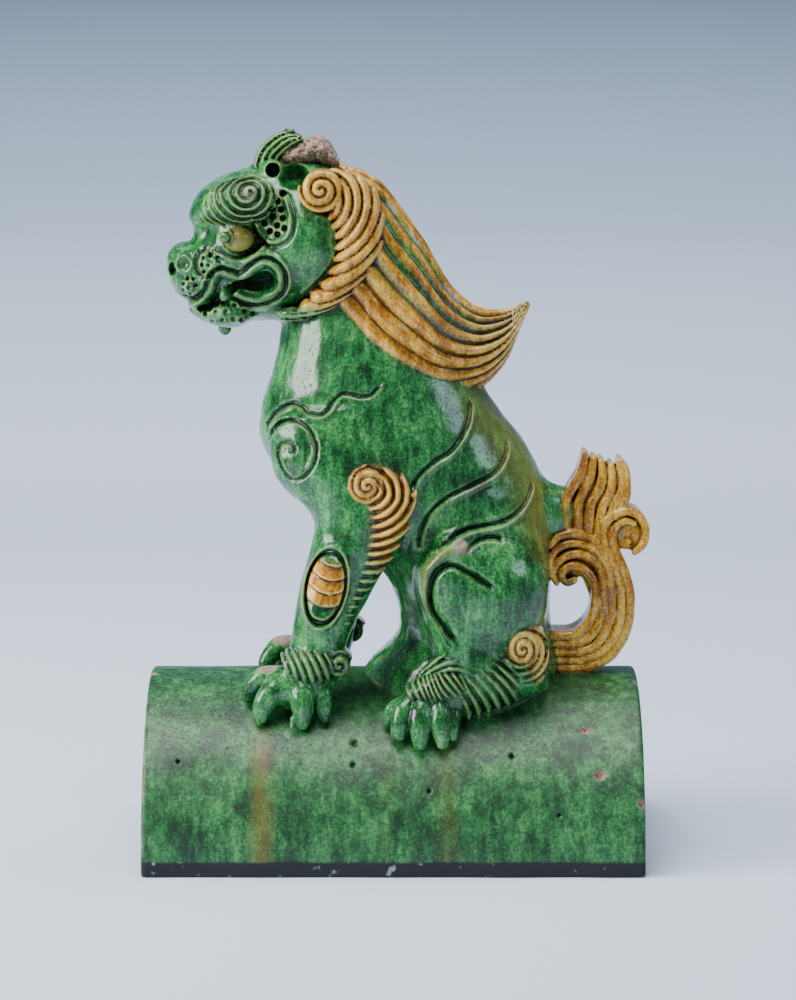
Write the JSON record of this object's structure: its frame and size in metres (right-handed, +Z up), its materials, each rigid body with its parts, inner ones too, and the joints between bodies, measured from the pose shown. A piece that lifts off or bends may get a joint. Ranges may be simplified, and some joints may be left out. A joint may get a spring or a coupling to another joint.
{
  "type": "ridge beast ornament",
  "caption": "Half-round glazed roof ridge tile with a seated mythical beast on it, green and amber, horn broken off short, for a roof ridge or for display.",
  "frame": {"origin": "middle of the bounding box, at the level of the tile's bottom edges", "axes": "+Z up; +X along the ridge, from the beast's face to its tail; +Y across the ridge, to the beast's right"},
  "size_m": [0.2874, 0.198, 0.4088],
  "materials": {
    "glazed_stoneware": "gloss"
  },
  "bodies": {
    "root": {"ridge_beast": "glazed_stoneware"}
  },
  "joints": []
}
